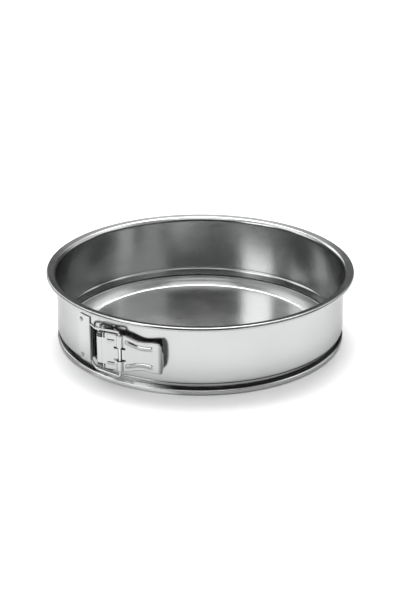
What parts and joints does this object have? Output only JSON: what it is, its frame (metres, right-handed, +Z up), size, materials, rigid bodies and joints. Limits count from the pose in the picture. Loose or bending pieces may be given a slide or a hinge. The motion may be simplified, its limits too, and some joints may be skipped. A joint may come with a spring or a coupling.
{
  "type": "springform pan",
  "caption": "Round steel cake pan with a lift-out base in the groove of a band that an over-centre lever latch draws closed.",
  "frame": {"origin": "middle of the base's underside, on the table, which is also the bottom centre of the bounding box", "axes": "+Z up along the axis of the pan, +Y to the back, -Y to the front; the latch sits on the outside of the band at the front left, with its face looking 23 degrees to the left of -Y"},
  "size_m": [0.2788, 0.2788, 0.0656],
  "materials": {
    "base_steel": "satin tinned steel sheet",
    "band_steel": "satin tinned steel sheet, fine vertical rolling lines",
    "latch_steel": "bright plated stamping",
    "rivet_steel": "bright plated",
    "wire_steel": "bright drawn wire"
  },
  "bodies": {
    "base": {"pan_base": "base_steel"},
    "ring_right": {"band_right": "band_steel", "fulcrum_bracket": "latch_steel", "bracket_rivet_lower": "rivet_steel", "bracket_rivet_upper": "rivet_steel", "fulcrum_pin": "rivet_steel"},
    "ring_left": {"band_left": "band_steel", "hook_plate": "latch_steel", "hook_rivet_lower": "rivet_steel", "hook_rivet_upper": "rivet_steel"},
    "lever": {"lever": "latch_steel"},
    "bail": {"bail": "wire_steel"}
  },
  "joints": [
    {"name": "ring_lift", "type": "slide", "parent": "base", "child": "ring_right", "axis": [0, 0, 1], "range_m": [0, 0.08]},
    {"name": "latch_lever", "type": "hinge", "parent": "ring_right", "child": "lever", "pos_m": [-0.08434, -0.10912, 0.034], "axis": [0, 0, -1], "range_deg": [0, 160]},
    {"name": "ring_spread", "type": "hinge", "parent": "ring_right", "child": "ring_left", "pos_m": [0.09127, 0.10537, 0.033], "axis": [0, 0, -1], "range_deg": [0, 4.2]},
    {"name": "bail_pivot", "type": "hinge", "parent": "lever", "child": "bail", "pos_m": [-0.0675, -0.11909, 0.034], "axis": [0, 0, -1], "range_deg": [-144, 0]}
  ],
  "couplings": [
    {"joint": "ring_spread", "follows": "latch_lever", "ratio": 0.02625},
    {"joint": "bail_pivot", "follows": "latch_lever", "ratio": -0.9}
  ]
}
